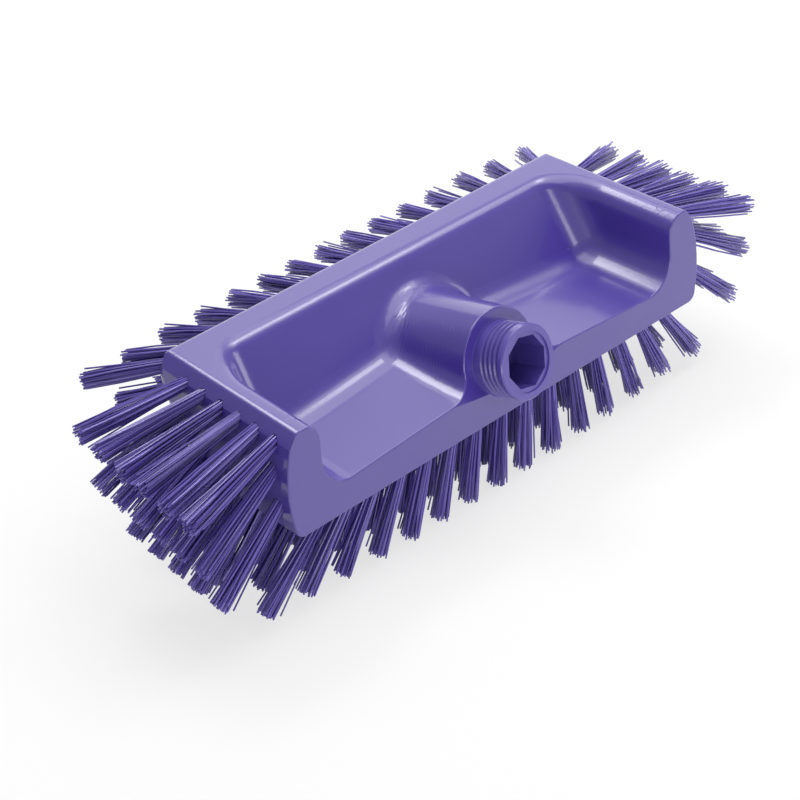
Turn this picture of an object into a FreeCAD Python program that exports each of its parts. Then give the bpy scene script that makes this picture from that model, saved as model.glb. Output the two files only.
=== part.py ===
import FreeCAD, Part
import math
import os

from FreeCAD import Placement, Rotation, Vector

# Water-fed scrub brush head: one moulded block with an open bowl, a handle tube and a threaded
# nipple, and rows of bristle tufts, each folded round a metal anchor in its own blind hole.
# Millimetres and degrees. X runs along the block, -Y is the nipple side, Z is up, and the base
# tufts stand on Z = 0. "drop" is a distance below the rim plane.

# Block
rim_height = 65.0           # rim plane above the floor under the base tufts
rim_half_length = 91.2      # middle to the outer rim edge at the front
rim_depth = 59.0            # front edge of the rim to its back edge
end_taper = 3.3             # each end draws in by this much from front to back
front_lean = 4.8            # foot of the front face ahead of its top
base_drop = 34.3            # flat tufted base below the rim
slant_run = 22.5            # foot of the slanted back ahead of the back face
back_band = 8.1             # height of the upright band under the back rim
bend_round = 9.0            # bends between base, slant and band
end_top_out = 1.6           # barrel of the end, out from the rim edge at the rim plane
belly_out = 5.3             # the same at its fullest
belly_drop = 15.0           # where the end is fullest
foot_out = 2.9              # the same at the base
crease_out = 3.2            # sloping band under the end rim, outward
crease_drop = 4.4           # and downward
end_round = 3.5             # lower and back corners of the ends
rim_outer_round = 2.5
rim_inner_round = 6.5
front_edge_round = 0.5      # edges of the front face

# Bowl
end_wall = 9.0              # rim's end edge to the bowl, at the front
back_wall = 12.0            # rim's back edge to the bowl, at the rim plane
bowl_floor_drop = 19.5      # floor at the mirror plane
bowl_floor_fall = 5.0       # the floor falls this much from the middle to each end
bowl_back_lean = 38.0       # bowl's back wall from upright
bowl_round = 11.0

# Handle tube and threaded nipple
handle_tilt = 18.6          # tube axis above level, towards the mouth
shoulder_y = 1.0            # centre of the shoulder face
shoulder_drop = 16.9
shoulder_radius = 16.4
tube_flare = 5.0            # half angle of the tube's taper
tube_round = 8.0            # tube to bowl floor and back wall
scoop_lean = 31.0           # front face under the shoulder, from upright
scoop_radius = 300.0        # and its curve along the block
nipple_radius = 12.1
nipple_length = 11.9
nipple_edge = 0.4           # chamfer round the nipple's end
thread_pitch = 1.9
thread_depth = 0.95
thread_crest = 0.45         # flat on each crest
thread_root = 0.3           # flat in each groove
thread_land = 1.8           # plain stretch at the nipple's end
thread_neck = 2.7           # shoulder to the middle of the first groove
collar_radius = 12.3        # plain collar between thread and shoulder
collar_length = 1.9
socket_flats = 16.2         # eight-sided mouth of the water way, across flats
socket_turn = 12.0          # its flats, clockwise from upright
socket_depth = 15.0
mouth_radius = 9.8          # shallow round step at the mouth
mouth_depth = 0.6
channel_radius = 5.0        # round water way behind the socket
channel_depth = 29.0        # from the mouth to its end
outlet_radius = 3.0         # water outlet down through the base

# Tufts and anchors
tuft_radius = 1.9           # bundle in its hole
tuft_spread = 0.04          # outside the hole its radius grows by this much for each millimetre
hole_depth = 7.0
hole_clearance = 0.1
anchor_length = 4.8         # longer than the hole is wide, so it bites into the block
anchor_height = 3.0
anchor_thickness = 0.4
anchor_lift = 1.2           # folded bristle under the anchor

# Base rows
base_rows = 4
base_count = 15             # tufts in the front row; every second row has one fewer
base_end_inset = 10.0       # outermost tufts in from the rim's ends
front_row_inset = 4.3       # front row behind the foot of the front face
last_row_inset = 4.6        # last row ahead of the foot of the slant
base_fan = 42.0             # lean of the outermost tuft
base_fan_power = 1.4
base_tip_rise = 2.6         # trim of the outermost tips above the floor

# Back rows, from the lowest; three stand on the slant and the last on the band above it
back_count = 15             # every second row has one fewer
back_end_inset = 3.7        # outermost tufts in from the rim's ends
back_fan = 36.0
back_fan_power = 1.9
back_length = 22.7          # middle tufts, outside the block; the tips are trimmed in line
slant_foot_inset = 6.0      # lowest row, along the slant from its foot
slant_top_inset = 6.87      # highest slant row, along the slant from its top
slant_row_droops = (58.0, 40.0, 25.0)
high_row_drop = 6.3
high_row_droop = 17.4

# End rows, from the top
top_row_drop = 5.4
top_row_droop = 13.5        # below level
top_row_length = 39.2       # tuft nearest the front, outside the block
top_row_fan = 18.0          # tuft nearest the back, towards the back
top_row_front = 6.8         # first tuft behind the rim's front edge
top_row_back = 12.2         # last tuft ahead of the rim's back edge
top_row_count = 6
mid_row_drop = 13.2
mid_row_droop = 28.0
mid_row_length = 38.2
mid_row_fan = 8.0
mid_row_front = 4.9
mid_row_back = 13.1
mid_row_count = 6
foot_row_drop = 24.5
foot_row_droop = 38.0
foot_row_length = 35.5
foot_row_fan = 8.0
foot_row_front = 2.4
foot_row_back = 22.2
foot_row_count = 5
end_row_front_fan = 6.0     # tufts nearest the front, towards the front
end_row_trim = 3.2          # tufts nearest the back are shorter by this

# Sizes that follow from the ones above
far = 4 * rim_half_length   # well outside the block
end_run = Vector(-end_taper / rim_depth, 1, 0)
slant_foot = rim_depth - slant_run
slant_rise = base_drop - back_band
bowl_half_length = rim_half_length - end_wall
bowl_back = rim_depth - back_wall
base_reach = rim_half_length - base_end_inset
base_row_pitch = (slant_foot + front_lean - front_row_inset - last_row_inset) / (base_rows - 1)
back_reach = rim_half_length - back_end_inset


def at(x, y, drop):
    return Vector(x, y, rim_height - drop)


def prism(points, direction):
    outline = Part.makePolygon(points + [points[0]])
    return Part.Face(outline).extrude(direction)


def mirrored(shape):
    return shape.mirror(Vector(0, 0, 0), Vector(1, 0, 0))


def same(a, b):
    return abs(a - b) < 0.01


def edges_where(shape, wanted):
    found = []
    for edge in shape.Edges:
        middle = edge.valueAt((edge.FirstParameter + edge.LastParameter) / 2)
        if wanted(middle, edge):
            found.append(edge)
    return found


def end_arc():
    """Barrel outline of the right end, in the plane of the rim's front edge."""
    return Part.Arc(at(rim_half_length + end_top_out, 0, 0),
                    at(rim_half_length + belly_out, 0, belly_drop),
                    at(rim_half_length + foot_out, 0, base_drop))


def end_x(y, drop):
    """How far out the right end's face lies."""
    circle = end_arc().toShape().Curve
    rise = rim_height - drop - circle.Center.z
    return circle.Center.x + math.sqrt(circle.Radius ** 2 - rise ** 2) + end_run.x * y


def outer_form():
    section = prism([at(-far, 0, 0), at(-far, -front_lean, base_drop),
                     at(-far, slant_foot, base_drop), at(-far, rim_depth, back_band),
                     at(-far, rim_depth, 0)], Vector(2 * far, 0, 0))

    def is_bend(middle, edge):
        at_foot = same(middle.y, slant_foot) and same(middle.z, rim_height - base_drop)
        at_band = same(middle.y, rim_depth) and same(middle.z, rim_height - back_band)
        return same(middle.x, 0) and (at_foot or at_band)

    section = section.makeFillet(bend_round, edges_where(section, is_bend))

    start = end_run * -rim_depth
    arc = end_arc().toShape()
    arc.translate(start)
    top, foot = (arc.Vertexes[0].Point, arc.Vertexes[-1].Point)
    inner_top = Vector(-far, top.y, top.z)
    inner_foot = Vector(-far, foot.y, foot.z)
    outline = Part.Wire([Part.makeLine(inner_top, top), arc, Part.makeLine(foot, inner_foot),
                         Part.makeLine(inner_foot, inner_top)])
    right = Part.Face(outline).extrude(end_run * (3 * rim_depth))
    form = section.common(right).common(mirrored(right))

    def is_end_corner(middle, edge):
        outer = abs(middle.x) > bowl_half_length
        return outer and middle.y > end_round and not same(middle.z, rim_height)

    form = form.makeFillet(end_round, edges_where(form, is_end_corner))

    slope = 3.0
    band = prism([at(rim_half_length - slope * crease_out, 0, -slope * crease_drop) + start,
                  at(rim_half_length + slope * crease_out, 0, slope * crease_drop) + start,
                  at(far, 0, -slope * crease_drop) + start], end_run * (3 * rim_depth))
    form = form.cut(band).cut(mirrored(band))

    def is_rim_edge(middle, edge):
        return same(middle.z, rim_height) and middle.y > rim_outer_round

    return form.makeFillet(rim_outer_round, edges_where(form, is_rim_edge))


def bowl_half():
    lean = math.tan(math.radians(bowl_back_lean))
    above = -bowl_round
    below = bowl_floor_drop + bowl_floor_fall + bowl_round
    start = end_run * -rim_depth
    end_floor = bowl_floor_drop + bowl_floor_fall
    side = prism([Vector(0, start.y, rim_height - above),
                  at(bowl_half_length, 0, above) + start,
                  at(bowl_half_length, 0, end_floor) + start,
                  Vector(0, start.y, rim_height - bowl_floor_drop)], end_run * (3 * rim_depth))
    back = prism([at(0, start.y, above), at(0, bowl_back - lean * above, above),
                  at(0, bowl_back - lean * below, below), at(0, start.y, below)],
                 Vector(far, 0, 0))
    hollow = side.common(back)
    hollow = hollow.common(Part.makeBox(far, far, far, Vector(0, -far / 2, rim_height - far / 2)))

    def is_inner_corner(middle, edge):
        on_open_side = same(middle.y, start.y) or same(middle.z, rim_height - above)
        return not on_open_side and not same(middle.x, 0)

    return hollow.makeFillet(bowl_round, edges_where(hollow, is_inner_corner))


def handle_place():
    tilt = math.radians(handle_tilt)
    out = Vector(0, -math.cos(tilt), math.sin(tilt))
    up = Vector(0, math.sin(tilt), math.cos(tilt))
    return Placement(at(0, shoulder_y, shoulder_drop), Rotation(Vector(1, 0, 0), up, out, "ZXY"))


def set_on_handle(shape):
    shape.Placement = handle_place().multiply(shape.Placement)
    return shape


def tube():
    flare = math.tan(math.radians(tube_flare))
    cone = Part.makeCone(shoulder_radius + rim_depth * flare, shoulder_radius - nipple_length * flare,
                         rim_depth + nipple_length, Vector(0, 0, -rim_depth))
    cone.rotate(Vector(0, 0, 0), Vector(0, 0, 1), -90)
    return set_on_handle(cone)


def nipple():
    body = Part.makeCylinder(nipple_radius, nipple_length + hole_depth, Vector(0, 0, -hole_depth))
    rim = edges_where(body, lambda middle, edge: same(middle.z, nipple_length))
    body = body.makeChamfer(nipple_edge, [edge for edge in rim if edge.isClosed()])
    turns_height = nipple_length - thread_land - thread_neck
    helix = Part.makeHelix(thread_pitch, turns_height, nipple_radius)
    half_mouth = (thread_pitch - thread_crest) / 2
    half_root = thread_root / 2
    flank = (half_mouth - half_root) / thread_depth
    over = 0.3
    outside = nipple_radius + over
    inside = nipple_radius - thread_depth
    wide = half_mouth + flank * over
    corners = [Vector(outside, 0, -wide), Vector(outside, 0, wide),
               Vector(inside, 0, half_root), Vector(inside, 0, -half_root)]
    groove_outline = Part.makePolygon(corners + [corners[0]])
    groove = Part.Wire(helix).makePipeShell([groove_outline], True, True)
    groove.translate(Vector(0, 0, thread_neck))
    collar = Part.makeCylinder(collar_radius, collar_length)
    return set_on_handle(body.cut(groove).fuse(collar))


def scoop_axis():
    lean = math.radians(scoop_lean)
    outward = Vector(0, -math.cos(lean), math.sin(lean))
    down = Vector(0, -math.sin(lean), -math.cos(lean))
    return at(0, shoulder_y, shoulder_drop) + outward * scoop_radius, down


def front_scoop():
    """Clears the front face ahead of the shoulder, and below the nipple's axis hollows it gently."""
    ahead = Part.makeBox(rim_half_length, far, far, Vector(-rim_half_length / 2, -far / 2, 0))
    middle, down = scoop_axis()
    hollow = Part.makeCylinder(scoop_radius, 2 * far, middle - down * far, down)
    return set_on_handle(ahead).common(hollow)


def water_way():
    corner_radius = socket_flats / 2 / math.cos(math.radians(22.5))
    corners = []
    for side in range(8):
        angle = math.radians(22.5 - socket_turn + 45 * side)
        corners.append(Vector(corner_radius * math.cos(angle), corner_radius * math.sin(angle),
                              nipple_length - socket_depth))
    socket = prism(corners, Vector(0, 0, 2 * socket_depth))
    mouth = Part.makeCylinder(mouth_radius, 2 * mouth_depth, Vector(0, 0, nipple_length - mouth_depth))
    channel = Part.makeCylinder(channel_radius, channel_depth,
                                Vector(0, 0, nipple_length - channel_depth))
    inside = [set_on_handle(piece) for piece in (socket, mouth, channel)]
    channel_end = inside[2].CenterOfMass.z
    between_rows = (base_row_y(1) + base_row_y(2)) / 2
    outlet = Part.makeCylinder(outlet_radius, channel_end, Vector(0, between_rows, 0))
    return inside + [outlet]


def tuft_place(root, direction, across):
    return Placement(root, Rotation(across, Vector(), direction, "ZXY"))


def anchor_blank():
    return Part.makeBox(anchor_length, anchor_thickness, anchor_height,
                        Vector(-anchor_length / 2, -anchor_thickness / 2, anchor_lift - hole_depth))


def tuft_blank(length):
    tip_radius = tuft_radius + tuft_spread * length
    profile = Part.makePolygon([Vector(0, 0, -hole_depth), Vector(tuft_radius, 0, -hole_depth),
                                Vector(tuft_radius, 0, 0), Vector(tip_radius, 0, length),
                                Vector(0, 0, length), Vector(0, 0, -hole_depth)])
    bundle = Part.Face(profile).revolve(Vector(0, 0, 0), Vector(0, 0, 1), 360)
    return bundle.cut(anchor_blank())


def hole_blanks():
    clear = tuft_radius / math.cos(math.radians(45))
    hole = Part.makeCylinder(tuft_radius + hole_clearance, hole_depth + clear,
                             Vector(0, 0, -hole_depth))
    return [hole, anchor_blank()]


def fan(x, reach, most, power):
    return math.copysign(most * (abs(x) / reach) ** power, x)


def along(count, most, reach):
    """Places of a row's tufts along X: a row of the most tufts runs from end to end."""
    pitch = 2 * reach / (most - 1)
    return [(place - (count - 1) / 2) * pitch for place in range(count)]


def base_row_y(row):
    return front_row_inset - front_lean + row * base_row_pitch


def base_row(row):
    y = base_row_y(row)
    tufts = []
    for x in along(base_count - row % 2, base_count, base_reach):
        lean = math.radians(fan(x, base_reach, base_fan, base_fan_power))
        clear = rim_height - base_drop - base_tip_rise * (x / base_reach) ** 2
        edge = abs(math.sin(lean))  # the tip's edge hangs lower than its middle by its radius times this
        length = (clear - tuft_radius * edge) / (math.cos(lean) + tuft_spread * edge)
        direction = Vector(math.sin(lean), 0, -math.cos(lean))
        tufts.append((at(x, y, base_drop), direction, length))
    return tufts, Vector(0, 1, 0)


def back_row(y, drop, droop, count):
    level = math.cos(math.radians(droop))
    tufts = []
    for x in along(count, back_count, back_reach):
        turn = math.radians(fan(x, back_reach, back_fan, back_fan_power))
        direction = Vector(math.sin(turn) * level, math.cos(turn) * level,
                           -math.sin(math.radians(droop)))
        tufts.append((at(x, y, drop), direction, back_length / math.cos(turn)))
    return tufts, Vector(1, 0, 0)


def slant_row(row):
    slant_length = math.hypot(slant_run, slant_rise)
    pitch = (slant_length - slant_foot_inset - slant_top_inset) / (len(slant_row_droops) - 1)
    share = (slant_foot_inset + row * pitch) / slant_length
    return back_row(slant_foot + share * slant_run, base_drop - share * slant_rise,
                    slant_row_droops[row], back_count - (row + 1) % 2)


def end_row(drop, droop, front, back, count, length, most, side):
    level = math.cos(math.radians(droop))
    tufts = []
    for place in range(count):
        share = place / (count - 1)
        y = front + (rim_depth - back - front) * share
        turn = math.radians(-end_row_front_fan + (most + end_row_front_fan) * share)
        direction = Vector(side * math.cos(turn) * level, math.sin(turn) * level,
                           -math.sin(math.radians(droop)))
        root = at(side * end_x(y, drop), y, drop)
        tufts.append((root, direction, length - end_row_trim * share))
    return tufts, Vector(0, 1, 0)


def tuft_rows():
    rows = {}
    for row in range(base_rows):
        rows["base_row_%d" % (row + 1)] = base_row(row)
    slant_rows = len(slant_row_droops)
    for row in range(slant_rows):
        rows["back_row_%d" % (row + 1)] = slant_row(row)
    rows["back_row_%d" % (slant_rows + 1)] = back_row(rim_depth, high_row_drop, high_row_droop,
                                                      back_count)
    for name, side in (("left", -1), ("right", 1)):
        rows[name + "_end_row_top"] = end_row(top_row_drop, top_row_droop, top_row_front,
                                              top_row_back, top_row_count, top_row_length,
                                              top_row_fan, side)
        rows[name + "_end_row_middle"] = end_row(mid_row_drop, mid_row_droop, mid_row_front,
                                                 mid_row_back, mid_row_count, mid_row_length,
                                                 mid_row_fan, side)
        rows[name + "_end_row_foot"] = end_row(foot_row_drop, foot_row_droop, foot_row_front,
                                               foot_row_back, foot_row_count, foot_row_length,
                                               foot_row_fan, side)
    return rows


def on_front_flat(point):
    return same(point.y, -front_lean * (rim_height - point.z) / base_drop)


def front_edges(form):
    """Edges of the flat front face, apart from its foot."""
    def wanted(middle, edge):
        return on_front_flat(middle) and middle.z > rim_height - base_drop + front_edge_round

    return edges_where(form, wanted)


def shoulder_edges(form):
    """Outer edge of the shoulder, and on down to the bowl floor along the scoop."""
    to_handle = handle_place().inverse()

    def wanted(middle, edge):
        on_shoulder = same(to_handle.multVec(middle).z, 0)
        on_scoop = same(middle.distanceToLine(*scoop_axis()), scoop_radius)
        near_tube = abs(middle.x) < shoulder_radius + tube_round / 2
        return on_shoulder != on_scoop and near_tube and not on_front_flat(middle)

    return edges_where(form, wanted)


def brush_block(rows):
    form = outer_form()
    half = bowl_half()
    hollow = half.fuse(mirrored(half)).cut(tube())
    form = form.cut(hollow)

    def is_inner_rim(middle, edge):
        inside = abs(middle.x) < bowl_half_length
        behind_front = rim_inner_round < middle.y < rim_depth - rim_outer_round
        return same(middle.z, rim_height) and inside and behind_front

    form = form.makeFillet(rim_inner_round, edges_where(form, is_inner_rim))
    root_edges = []
    for face in form.Faces:
        if isinstance(face.Surface, Part.Cone) and same(face.Surface.Axis.x, 0):
            root_edges += [edge for edge in face.Edges if edge.CenterOfMass.y > shoulder_y + tube_round]
    form = form.makeFillet(tube_round, [e for e in root_edges if not isinstance(e.Curve, Part.Line)])
    form = form.makeFillet(front_edge_round, front_edges(form))
    form = form.cut(front_scoop())
    form = form.makeFillet(front_edge_round, shoulder_edges(form))
    form = form.fuse(nipple()).cut(water_way())
    holes = []
    slots = []
    for tufts, across in rows.values():
        for root, direction, length in tufts:
            hole, slot = hole_blanks()
            hole.Placement = tuft_place(root, direction, across).multiply(hole.Placement)
            slot.Placement = tuft_place(root, direction, across).multiply(slot.Placement)
            holes.append(hole)
            slots.append(slot)
    return form.cut(holes).cut(slots).removeSplitter()


def main():
    os.makedirs("parts", exist_ok=True)
    rows = tuft_rows()
    pieces = {"brush_block": brush_block(rows)}
    for name, (tufts, across) in rows.items():
        bundles = []
        anchors = []
        for root, direction, length in tufts:
            place = tuft_place(root, direction, across)
            bundle = tuft_blank(length)
            bundle.Placement = place
            bundles.append(bundle)
            anchor = anchor_blank()
            anchor.Placement = place.multiply(anchor.Placement)
            anchors.append(anchor)
        pieces[name + "_tufts"] = Part.makeCompound(bundles)
        pieces[name + "_anchors"] = Part.makeCompound(anchors)

    box = FreeCAD.BoundBox()
    for shape in pieces.values():
        box.add(shape.optimalBoundingBox(False, False))
    middle = Vector(0, (box.YMin + box.YMax) / 2, 0)
    for name, shape in pieces.items():
        shape.translate(-middle)
        shape.exportStep("parts/%s.step" % name)
        print("%-28s solids %3d  valid %s  volume %.1f" % (name, len(shape.Solids), shape.isValid(),
                                                          shape.Volume))
    print("box", box)
    print("shift", -middle)


main()
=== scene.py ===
import math
import random

import bpy
import numpy as np
from mathutils import Matrix, Vector


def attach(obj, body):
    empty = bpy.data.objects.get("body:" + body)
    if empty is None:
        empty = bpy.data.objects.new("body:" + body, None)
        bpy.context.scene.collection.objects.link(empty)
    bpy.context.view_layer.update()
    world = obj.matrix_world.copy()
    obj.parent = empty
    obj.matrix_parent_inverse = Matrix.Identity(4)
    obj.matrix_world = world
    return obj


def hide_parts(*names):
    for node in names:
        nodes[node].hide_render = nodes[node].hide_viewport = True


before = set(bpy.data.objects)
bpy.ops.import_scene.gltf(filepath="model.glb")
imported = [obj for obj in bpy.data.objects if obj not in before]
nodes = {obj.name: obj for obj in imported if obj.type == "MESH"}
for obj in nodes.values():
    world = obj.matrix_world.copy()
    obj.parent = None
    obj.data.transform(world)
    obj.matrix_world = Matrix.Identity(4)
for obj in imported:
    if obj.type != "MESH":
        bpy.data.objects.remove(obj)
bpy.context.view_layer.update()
mm = 0.001
hair = 0.001 * mm  # points this close count as one
print("frame loaded:", len(nodes), "nodes")


def onlySelect(objects):
    bpy.ops.object.select_all(action="DESELECT")
    for obj in objects:
        obj.select_set(True)
    bpy.context.view_layer.objects.active = objects[0]


def copyOf(obj, name):
    twin = obj.copy()
    twin.data = obj.data.copy()  # each copy has its own mesh
    twin.name = name
    bpy.context.scene.collection.objects.link(twin)
    return twin


def joinAs(objects, name):
    onlySelect(objects)
    bpy.ops.object.join()
    whole = bpy.context.view_layer.objects.active
    whole.name = name
    whole.data.name = name
    bpy.ops.object.transform_apply(location=True, rotation=True, scale=True)
    return whole


def discard(objects):
    for obj in objects:
        mesh = obj.data
        bpy.data.objects.remove(obj)
        bpy.data.meshes.remove(mesh)


def addNode(tree, kind, place, **values):
    node = tree.nodes.new(kind)
    node.location = place
    for key, value in values.items():
        setattr(node, key, value)
    return node


def newFinish(name):
    finish = bpy.data.materials.new(name)
    finish.use_nodes = True
    tree = finish.node_tree
    return finish, tree, tree.nodes["Principled BSDF"]


def mixedColour(tree, place, factor, first, second):
    mix = addNode(tree, "ShaderNodeMix", place, data_type="RGBA")
    colours = [socket for socket in mix.inputs if socket.type == "RGBA"]
    if isinstance(first, tuple):
        colours[0].default_value = first
    else:
        tree.links.new(first, colours[0])
    colours[1].default_value = second
    tree.links.new(factor, mix.inputs["Factor"])
    return [socket for socket in mix.outputs if socket.type == "RGBA"][0]


def spread(tree, place, value, reach, low, high):
    ramp = addNode(tree, "ShaderNodeMapRange", place, interpolation_type="SMOOTHSTEP")
    ramp.inputs["From Min"].default_value = reach[0]
    ramp.inputs["From Max"].default_value = reach[1]
    ramp.inputs["To Min"].default_value = low
    ramp.inputs["To Max"].default_value = high
    tree.links.new(value, ramp.inputs["Value"])
    return ramp.outputs["Result"]


def maths(tree, place, operation, first, second):
    node = addNode(tree, "ShaderNodeMath", place, operation=operation)
    tree.links.new(first, node.inputs[0])
    if isinstance(second, float):
        node.inputs[1].default_value = second
    else:
        tree.links.new(second, node.inputs[1])
    return node.outputs[0]


def addBump(tree, place, height, depth, below=None):
    bump = addNode(tree, "ShaderNodeBump", place)
    bump.inputs["Distance"].default_value = depth
    tree.links.new(height, bump.inputs["Height"])
    if below is not None:
        tree.links.new(below, bump.inputs["Normal"])
    return bump.outputs["Normal"]


def splitAxes(tree, place, vector):
    apart = addNode(tree, "ShaderNodeSeparateXYZ", place)
    tree.links.new(vector, apart.inputs["Vector"])
    return apart.outputs["X"], apart.outputs["Y"], apart.outputs["Z"]


mottleLook = {
    "cloudDetail": 2.0,
    "grainDetail": 3.0,
    "cloudReach": (0.3, 0.7),  # the part of the cloud that changes the roughness
}


def makeMottle(look):
    # a soft cloudy change of tone, and a fine grain for the surface
    group = bpy.data.node_groups.new("plasticMottle", "ShaderNodeTree")
    face = group.interface
    face.new_socket("Vector", in_out="INPUT", socket_type="NodeSocketVector")
    for name in ("Cloud", "Grain"):
        face.new_socket(name + " Scale", in_out="INPUT", socket_type="NodeSocketFloat")
        face.new_socket(name, in_out="OUTPUT", socket_type="NodeSocketFloat")
    groupIn = addNode(group, "NodeGroupInput", (-500, 0))
    groupOut = addNode(group, "NodeGroupOutput", (300, 0))
    details = {"Cloud": look["cloudDetail"], "Grain": look["grainDetail"]}
    for i, (name, detail) in enumerate(details.items()):
        noise = addNode(group, "ShaderNodeTexNoise", (-200, 150 - 300 * i))
        noise.inputs["Detail"].default_value = detail
        group.links.new(groupIn.outputs["Vector"], noise.inputs["Vector"])
        group.links.new(groupIn.outputs[name + " Scale"], noise.inputs["Scale"])
        group.links.new(noise.outputs["Fac"], groupOut.inputs[name])
    return group


mottle = makeMottle(mottleLook)


def placeMottle(tree, look):
    # where the pattern lies, its cloud, and the roughness and surface it gives
    coords = addNode(tree, "ShaderNodeTexCoord", (-1150, 0)).outputs["Object"]
    effect = addNode(tree, "ShaderNodeGroup", (-900, 0), node_tree=mottle)
    effect.inputs["Cloud Scale"].default_value = look["cloudScale"]
    effect.inputs["Grain Scale"].default_value = look["grainScale"]
    tree.links.new(coords, effect.inputs["Vector"])
    cloud = effect.outputs["Cloud"]
    rough = spread(tree, (-350, -50), cloud, mottleLook["cloudReach"],
                   look["roughLow"], look["roughHigh"])
    normal = addBump(tree, (-350, -300), effect.outputs["Grain"], look["grainDepth"])
    return coords, cloud, rough, normal


def linkShader(tree, shader, colour, rough, normal):
    tree.links.new(colour, shader.inputs["Base Color"])
    tree.links.new(rough, shader.inputs["Roughness"])
    tree.links.new(normal, shader.inputs["Normal"])


# a pair of lengths is where a mark or a finish fades in or out
blockLook = {
    "shade": (0.048, 0.026, 0.258, 1.0),
    "tint": (0.057, 0.032, 0.292, 1.0),
    "roughLow": 0.30,
    "roughHigh": 0.42,
    "specular": 0.75,
    "gloss": 0.75,  # clear skin over the hazier plastic
    "glossRough": 0.10,
    "cloudScale": 18.0,
    "grainScale": 700.0,
    "grainDepth": 0.02 * mm,
    "tubeStart": (0.0, -33.3 * mm, 48.1 * mm),  # middle of the tube's shoulder
    "tubeTilt": 71.4,  # degrees, from upright to the tube's axis
    "nippleRadius": (12.6 * mm, 13.4 * mm),
    "nippleStart": (-0.5 * mm, -0.1 * mm),  # along the tube's axis
    "nippleGloss": 0.45,
    # painted sheen: a paler colour on the nipple that stands in for the brighter, whitish look of
    # its frosted surface
    "nipplePaintedSheen": (0.085, 0.058, 0.34, 1.0),
    "endStart": (92.5 * mm, 94.0 * mm),  # either way from the middle
    "frontEdge": (-34.0 * mm, -33.0 * mm),
    "endRough": 0.60,
    "flowScale": 250.0,
    "flowWander": 5.0,
    "flowDetail": 2.0,
    "flowDetailScale": 0.6,
    "flowDepth": 0.045 * mm,
    "flowRadius": (19 * mm, 23 * mm),  # from the tube's axis
    "flowEnd": (-9 * mm, -4 * mm),  # along the tube's axis
    "patchScale": 60.0,
    "patchReach": (0.42, 0.62),
    "pinMark": (86.7 * mm, -27.4 * mm, 65.0 * mm),  # mirrored at the other end
    "pinRadius": 1.7 * mm,
    "pinEdge": 0.3 * mm,
    "pinSide": (-1 * mm, 1 * mm),  # no mark behind this
    "pinDepth": 0.09 * mm,
}


def tubeCoords(tree, coords, look):
    # Z runs out along the tube from its shoulder
    along = addNode(tree, "ShaderNodeMapping", (-1500, -500), vector_type="TEXTURE")
    along.inputs["Location"].default_value = look["tubeStart"]
    along.inputs["Rotation"].default_value = (math.radians(look["tubeTilt"]), 0, 0)
    tree.links.new(coords, along.inputs["Vector"])
    x, y, height = splitAxes(tree, (-1300, -900), along.outputs["Vector"])
    sideways = addNode(tree, "ShaderNodeCombineXYZ", (-1100, -900))
    tree.links.new(x, sideways.inputs["X"])
    tree.links.new(y, sideways.inputs["Y"])
    radius = addNode(tree, "ShaderNodeVectorMath", (-900, -900), operation="LENGTH")
    tree.links.new(sideways.outputs["Vector"], radius.inputs[0])
    return along.outputs["Vector"], height, radius.outputs["Value"]


def flowMarks(tree, vector, height, radius, look):
    # faint rings that the plastic left as it ran along the tube
    wave = addNode(tree, "ShaderNodeTexWave", (-1050, -400), bands_direction="Z")
    wave.inputs["Scale"].default_value = look["flowScale"]
    wave.inputs["Distortion"].default_value = look["flowWander"]
    wave.inputs["Detail"].default_value = look["flowDetail"]
    wave.inputs["Detail Scale"].default_value = look["flowDetailScale"]
    tree.links.new(vector, wave.inputs["Vector"])
    patch = addNode(tree, "ShaderNodeTexNoise", (-1050, -700))
    patch.inputs["Scale"].default_value = look["patchScale"]
    tree.links.new(vector, patch.inputs["Vector"])
    nearTube = spread(tree, (-650, -900), radius, look["flowRadius"], 1.0, 0.0)
    inBowl = spread(tree, (-650, -1150), height, look["flowEnd"], 1.0, 0.0)
    where = maths(tree, (-450, -900), "MULTIPLY", nearTube, inBowl)
    patchy = spread(tree, (-650, -650), patch.outputs["Fac"], look["patchReach"], 0.0, 1.0)
    some = maths(tree, (-250, -650), "MULTIPLY", where, patchy)
    return maths(tree, (-100, -500), "MULTIPLY", some, wave.outputs["Fac"])


def nippleShare(tree, height, radius, look):
    # one on the nipple, which is less polished than the bowl and is painted paler, a painted sheen
    # standing in for the light its frosted surface catches
    nearAxis = spread(tree, (-650, -1700), radius, look["nippleRadius"], 1.0, 0.0)
    ahead = spread(tree, (-650, -1900), height, look["nippleStart"], 0.0, 1.0)
    return maths(tree, (-450, -1700), "MULTIPLY", nearAxis, ahead)


def endShare(tree, coords, look):
    # one on the tufted end faces, which are duller
    x, y, _ = splitAxes(tree, (-1300, -2100), coords)
    out = addNode(tree, "ShaderNodeMath", (-1100, -2100), operation="ABSOLUTE")
    tree.links.new(x, out.inputs[0])
    pastRim = spread(tree, (-900, -2100), out.outputs[0], look["endStart"], 0.0, 1.0)
    behindFront = spread(tree, (-900, -2300), y, look["frontEdge"], 0.0, 1.0)
    return maths(tree, (-700, -2100), "MULTIPLY", pastRim, behindFront)


def pinMarks(tree, coords, look):
    # a small round print on the rim at each end
    mirror = addNode(tree, "ShaderNodeVectorMath", (-1300, -1300), operation="ABSOLUTE")
    tree.links.new(coords, mirror.inputs[0])
    distance = addNode(tree, "ShaderNodeVectorMath", (-1100, -1300), operation="DISTANCE")
    tree.links.new(mirror.outputs["Vector"], distance.inputs[0])
    distance.inputs[1].default_value = [abs(value) for value in look["pinMark"]]
    edge = (look["pinRadius"] - look["pinEdge"], look["pinRadius"])
    disc = spread(tree, (-900, -1300), distance.outputs["Value"], edge, 1.0, 0.0)
    _, y, _ = splitAxes(tree, (-1100, -1500), coords)
    nippleSide = spread(tree, (-900, -1500), y, look["pinSide"], 1.0, 0.0)
    return maths(tree, (-700, -1300), "MULTIPLY", disc, nippleSide)


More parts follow.
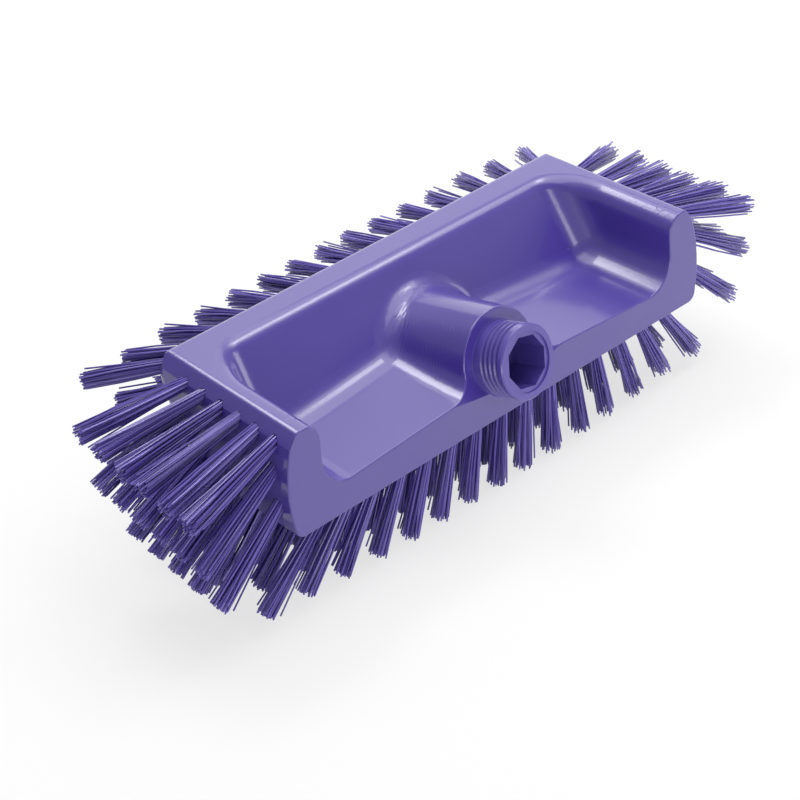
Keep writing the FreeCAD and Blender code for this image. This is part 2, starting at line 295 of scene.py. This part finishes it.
def makeBlockFinish(look):
    finish, tree, shader = newFinish("blockPlastic")
    coords, cloud, rough, normal = placeMottle(tree, look)
    vector, height, radius = tubeCoords(tree, coords, look)
    onNipple = nippleShare(tree, height, radius, look)
    onEnds = endShare(tree, coords, look)

    colour = mixedColour(tree, (-350, 200), cloud, look["shade"], look["tint"])
    # painted sheen: the nipple is painted paler in place of the light its frosted surface catches
    colour = mixedColour(tree, (-100, 300), onNipple, colour, look["nipplePaintedSheen"])
    flow = flowMarks(tree, vector, height, radius, look)
    normal = addBump(tree, (150, -500), flow, look["flowDepth"], normal)
    pins = pinMarks(tree, coords, look)
    normal = addBump(tree, (300, -700), pins, look["pinDepth"], normal)

    gloss = spread(tree, (-250, -1700), onNipple, (0.0, 1.0), look["gloss"], look["nippleGloss"])
    polished = spread(tree, (-450, -2100), onEnds, (0.0, 1.0), 1.0, 0.0)
    gloss = maths(tree, (-50, -1800), "MULTIPLY", gloss, polished)
    dull = maths(tree, (-250, -2200), "MULTIPLY", onEnds, look["endRough"])
    rough = maths(tree, (-50, -50), "MAXIMUM", rough, dull)

    linkShader(tree, shader, colour, rough, normal)
    tree.links.new(normal, shader.inputs["Coat Normal"])
    tree.links.new(gloss, shader.inputs["Coat Weight"])
    shader.inputs["Coat Roughness"].default_value = look["glossRough"]
    shader.inputs["Specular IOR Level"].default_value = look["specular"]
    return finish


bristleLook = {
    "shade": (0.048, 0.029, 0.235, 1.0),
    "tint": (0.190, 0.140, 0.550, 1.0),
    "roughLow": 0.26,
    "roughHigh": 0.38,
    "specular": 0.65,
    "cloudScale": 60.0,
    "grainScale": 1500.0,
    "grainDepth": 0.02 * mm,
}


def makeBristleFinish(look):
    finish, tree, shader = newFinish("bristleFilament")
    _, _, rough, normal = placeMottle(tree, look)
    tone = addNode(tree, "ShaderNodeAttribute", (-700, 300))
    tone.attribute_name = "tone"  # one tone a filament
    colour = mixedColour(tree, (-350, 200), tone.outputs["Fac"], look["shade"], look["tint"])
    linkShader(tree, shader, colour, rough, normal)
    shader.inputs["Specular IOR Level"].default_value = look["specular"]
    return finish


anchorLook = {
    "shade": (0.50, 0.50, 0.52, 1.0),
    "tint": (0.66, 0.66, 0.68, 1.0),
    "roughLow": 0.28,
    "roughHigh": 0.42,
    "cloudScale": 300.0,
    "grainScale": 2500.0,
    "grainDepth": 0.01 * mm,
}


def makeAnchorFinish(look):
    finish, tree, shader = newFinish("anchorWire")
    _, cloud, rough, normal = placeMottle(tree, look)
    colour = mixedColour(tree, (-350, 200), cloud, look["shade"], look["tint"])
    linkShader(tree, shader, colour, rough, normal)
    shader.inputs["Metallic"].default_value = 1.0
    return finish


def paint(obj, finish):
    obj.data.materials.clear()
    obj.data.materials.append(finish)


blockPlastic = makeBlockFinish(blockLook)
bristleFilament = makeBristleFinish(bristleLook)
anchorWire = makeAnchorFinish(anchorLook)
paint(nodes["brush_block"], blockPlastic)
for name, node in nodes.items():
    if name.endswith("_anchors"):
        paint(node, anchorWire)
print("finishes made")


filament = {
    "sides": 5,
    "radius": 0.29 * mm,
    "length": 40.0 * mm,
    "rings": 2,
    "bows": (0.0, 0.35 * mm, 0.7 * mm),
    "tipScale": 0.72,
    "tipHeight": 0.12 * mm,
    "smoothAngle": 60,  # degrees
}


def selectLevel(obj, height):
    bpy.ops.mesh.select_all(action="DESELECT")
    bpy.ops.object.mode_set(mode="OBJECT")
    for vertex in obj.data.vertices:
        vertex.select = abs(vertex.co.z - height) < hair
    bpy.ops.object.mode_set(mode="EDIT")


def makeFilament(bow):
    length = filament["length"]
    bpy.ops.object.select_all(action="DESELECT")
    bpy.ops.mesh.primitive_cylinder_add(vertices=filament["sides"], radius=filament["radius"],
                                        depth=length, location=(0, 0, length / 2))
    strand = bpy.context.object
    bpy.ops.object.transform_apply(location=True, rotation=True, scale=True)
    bpy.ops.object.mode_set(mode="EDIT")
    cuts = [length * (i + 1) / (filament["rings"] + 1) for i in range(filament["rings"])]
    for height in cuts + [length - filament["tipHeight"]]:
        bpy.ops.mesh.select_all(action="SELECT")
        bpy.ops.mesh.bisect(plane_co=(0, 0, height), plane_no=(0, 0, 1))
    for height in cuts:  # a slight bow, ring by ring
        selectLevel(strand, height)
        bpy.ops.transform.translate(value=(bow * math.sin(math.pi * height / length), 0, 0))
    selectLevel(strand, length)  # the cut tip is a little rounded
    bpy.ops.transform.resize(value=(filament["tipScale"], filament["tipScale"], 1))
    bpy.ops.object.mode_set(mode="OBJECT")
    bpy.ops.object.shade_smooth_by_angle(angle=math.radians(filament["smoothAngle"]))
    strand.name = "filament"
    strand.data.materials.append(bristleFilament)
    return strand


bundle = {
    "filaments": 38,
    "variants": 3,
    "rootRadius": 1.6 * mm,
    "tipShare": 1.0,  # of the tip's radius in the solid
    "tipJitter": 0.35 * mm,
    "shortest": 0.958,  # of the tuft's length
    "longest": 0.992,
    "strays": 3,
    "strayShare": (1.1, 1.4),  # of the tip's radius
    "strayShortest": 0.93,
    "seed": 11,
}


def makeBundle(strands, length, tipRadius, draw):
    goldenAngle = math.pi * (3 - math.sqrt(5))
    count = bundle["filaments"]
    strays = draw.sample(range(count // 2, count), bundle["strays"])  # from the outer half
    copies = []
    for i in range(count):
        share = math.sqrt((i + 0.5) / count)
        outward = Vector((math.cos(i * goldenAngle), math.sin(i * goldenAngle), 0))
        root = outward * share * bundle["rootRadius"]
        if i in strays:
            tip = outward * tipRadius * draw.uniform(*bundle["strayShare"])
            reach = draw.uniform(bundle["strayShortest"], bundle["shortest"])
        else:
            tip = outward * share * tipRadius * bundle["tipShare"]
            tip.x += draw.uniform(-1, 1) * bundle["tipJitter"]
            tip.y += draw.uniform(-1, 1) * bundle["tipJitter"]
            reach = draw.uniform(bundle["shortest"], bundle["longest"])
        twin = copyOf(draw.choice(strands), "filament")
        tone = twin.data.attributes.new("tone", "FLOAT", "POINT")
        tone.data.foreach_set("value", [draw.random()] * len(twin.data.vertices))
        lean = Vector((tip.x - root.x, tip.y - root.y, length))
        turn = lean.to_track_quat("Z", "Y").to_matrix().to_4x4()
        spin = Matrix.Rotation(draw.uniform(0, math.tau), 4, "Z")
        size = Matrix.Diagonal((1, 1, reach * length / filament["length"], 1))
        twin.matrix_world = Matrix.Translation(root) @ turn @ spin @ size
        copies.append(twin)
    return joinAs(copies, "tuft")


rowLook = {
    "endDepth": 0.5 * mm,  # points this near a solid's end belong to its rim
    "sway": 0.9,  # degrees
    "seed": 23,
}


def tuftAxes(node):
    # root, tip and tip radius of each tuft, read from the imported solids
    onlySelect([copyOf(node, "tuftSolids")])
    bpy.ops.object.mode_set(mode="EDIT")
    bpy.ops.mesh.select_all(action="SELECT")
    bpy.ops.mesh.remove_doubles(threshold=hair)
    bpy.ops.mesh.separate(type="LOOSE")
    bpy.ops.object.mode_set(mode="OBJECT")
    solids = list(bpy.context.selected_objects)
    depth = rowLook["endDepth"]
    axes = []
    for solid in solids:
        points = np.array([v.co for v in solid.data.vertices])
        middle = points.mean(axis=0)
        along = np.linalg.svd(points - middle, full_matrices=False)[2][0]
        reach = (points - middle) @ along
        ends = []
        for rim in (points[reach < reach.min() + depth], points[reach > reach.max() - depth]):
            centre = rim.mean(axis=0)
            ends.append((np.linalg.norm(rim - centre, axis=1).max(), Vector(centre)))
        ends.sort(key=lambda end: end[0])  # the tip is the wider end
        axes.append((ends[0][1], ends[1][1], ends[1][0]))
    discard(solids)
    axes.sort(key=lambda axis: (round(axis[0].x, 5), round(axis[0].y, 5)))
    return axes


def makeRow(node, strands, bundleDraw, rowDraw):
    axes = tuftAxes(node)
    length = sum((tip - root).length for root, tip, _ in axes) / len(axes)
    tipRadius = sum(radius for _, _, radius in axes) / len(axes)
    bundles = [makeBundle(strands, length, tipRadius, bundleDraw)
               for _ in range(bundle["variants"])]
    copies = []
    for root, tip, _ in axes:
        run = tip - root
        twin = copyOf(rowDraw.choice(bundles), "tuft")
        sway = [math.radians(rowLook["sway"]) * rowDraw.uniform(-1, 1) for _ in range(2)]
        turn = run.to_track_quat("Z", "Y").to_matrix().to_4x4()
        nod = Matrix.Rotation(sway[0], 4, "X") @ Matrix.Rotation(sway[1], 4, "Y")
        spin = Matrix.Rotation(rowDraw.uniform(0, math.tau), 4, "Z")
        size = Matrix.Diagonal((1, 1, run.length / length, 1))
        twin.matrix_world = Matrix.Translation(root) @ turn @ nod @ spin @ size
        copies.append(twin)
    row = joinAs(copies, node.name.replace("_tufts", "_bristles"))
    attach(row, "root")
    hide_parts(node.name)
    discard(bundles)
    return row


strands = [makeFilament(bow) for bow in filament["bows"]]
bundleDraw = random.Random(bundle["seed"])
rowDraw = random.Random(rowLook["seed"])
tuftNodes = [node for name, node in sorted(nodes.items()) if name.endswith("_tufts")]
rows = [makeRow(node, strands, bundleDraw, rowDraw) for node in tuftNodes]
discard(strands)
faceCount = sum(len(row.data.polygons) for row in rows)
print("bristle rows made:", len(rows), "with", faceCount, "faces")


stage = {
    "floorSize": 8.0,
    "floorColour": (0.80, 0.80, 0.80, 1.0),
    "floorRough": 0.9,
    "cameraLift": 0.70,  # share of plain white that the camera sees
    "glossLift": 0.30,  # and that reflections show
    "worldColour": (1.0, 1.0, 1.0, 1.0),
    "worldStrength": 0.375,
}


def floorShare(tree):
    # how far the floor turns to plain white, for each kind of ray
    path = addNode(tree, "ShaderNodeLightPath", (-900, 300))
    gloss = maths(tree, (-700, 300), "MAXIMUM",
                  path.outputs["Is Glossy Ray"], path.outputs["Is Transmission Ray"])
    gloss = maths(tree, (-500, 300), "MULTIPLY", gloss, stage["glossLift"])
    seen = maths(tree, (-500, 500), "MULTIPLY", path.outputs["Is Camera Ray"], stage["cameraLift"])
    return maths(tree, (-300, 300), "MAXIMUM", gloss, seen)


def makeFloor():
    bpy.ops.object.select_all(action="DESELECT")
    bpy.ops.mesh.primitive_plane_add(size=stage["floorSize"], location=(0, 0, 0))
    floor = bpy.context.object
    floor.name = "floor"
    finish, tree, shader = newFinish("floorWhite")
    shader.inputs["Base Color"].default_value = stage["floorColour"]
    shader.inputs["Roughness"].default_value = stage["floorRough"]
    shader.inputs["Specular IOR Level"].default_value = 0.0
    glow = addNode(tree, "ShaderNodeEmission", (0, -400))
    mix = addNode(tree, "ShaderNodeMixShader", (300, -100))
    tree.links.new(floorShare(tree), mix.inputs["Fac"])
    tree.links.new(shader.outputs[0], mix.inputs[1])
    tree.links.new(glow.outputs[0], mix.inputs[2])
    tree.links.new(mix.outputs[0], tree.nodes["Material Output"].inputs["Surface"])
    floor.data.materials.append(finish)


def makeWorld():
    world = bpy.data.worlds.new("studio")
    bpy.context.scene.world = world
    world.use_nodes = True
    back = world.node_tree.nodes["Background"]
    back.inputs["Color"].default_value = stage["worldColour"]
    back.inputs["Strength"].default_value = stage["worldStrength"]


brushMiddle = (0.0, 0.0, 0.03)

# metres and watts; a lamp with no aim points straight down
lamps = {
    "topPanel": {"place": (0.30, 0.40, 1.03), "size": (1.8, 1.4), "power": 2.8},
    "topCore": {"place": (0.35, 0.19, 1.00), "size": (0.9, 1.1), "power": 5.0},
    "keyRight": {"place": (0.67, -0.03, 0.98), "size": (0.25, 0.25), "power": 1.3},
    "keyWide": {"place": (0.68, -0.03, 1.00), "size": (0.6, 0.6), "power": 2.8},
    "keyBack": {"place": (0.00, 0.63, 0.98), "size": (0.6, 0.35), "power": 4.6},
    "backPanel": {"place": (0.92, 0.86, 0.48), "aim": brushMiddle,
                  "size": (0.9, 0.95), "power": 2.8},
    "frontFill": {"place": (-0.50, -1.17, 0.22), "aim": brushMiddle,
                  "size": (1.5, 0.36), "power": 5.2},
    "frontCore": {"place": (0.13, -1.01, 0.56), "aim": brushMiddle,
                  "size": (0.3, 0.3), "power": 1.2},
    "sidePanel": {"place": (1.20, -0.46, 0.36), "aim": brushMiddle,
                  "size": (0.45, 0.45), "power": 1.6},
}


def makeLamp(name, look):
    bpy.ops.object.light_add(type="AREA", location=look["place"])
    lamp = bpy.context.object
    lamp.name = name
    lamp.data.shape = "RECTANGLE"
    lamp.data.size, lamp.data.size_y = look["size"]
    lamp.data.energy = look["power"]
    x, y, _ = look["place"]
    aim = Vector(look.get("aim", (x, y, 0.0))) - Vector(look["place"])
    lamp.rotation_euler = aim.to_track_quat("-Z", "Y").to_euler()


view = {
    "place": (-0.51876, -0.45432, 0.4844),
    "right": (0.6796, -0.7330, 0.0291),
    "up": (0.3959, 0.4000, 0.8267),
    "lens": 115.0,
    "sensor": 36.0,
    "clip": (0.01, 50),
}


def makeCamera():
    right, up = Vector(view["right"]).normalized(), Vector(view["up"]).normalized()
    back = right.cross(up).normalized()
    up = back.cross(right)
    turn = Matrix((right, up, back)).transposed().to_4x4()
    bpy.ops.object.camera_add()
    camera = bpy.context.object
    camera.matrix_world = Matrix.Translation(view["place"]) @ turn
    camera.data.lens = view["lens"]
    camera.data.sensor_width = view["sensor"]
    camera.data.clip_start, camera.data.clip_end = view["clip"]
    bpy.context.scene.camera = camera


makeFloor()
makeWorld()
for name, look in lamps.items():
    makeLamp(name, look)
makeCamera()
bpy.context.scene.view_settings.view_transform = "Standard"
print("stage set")
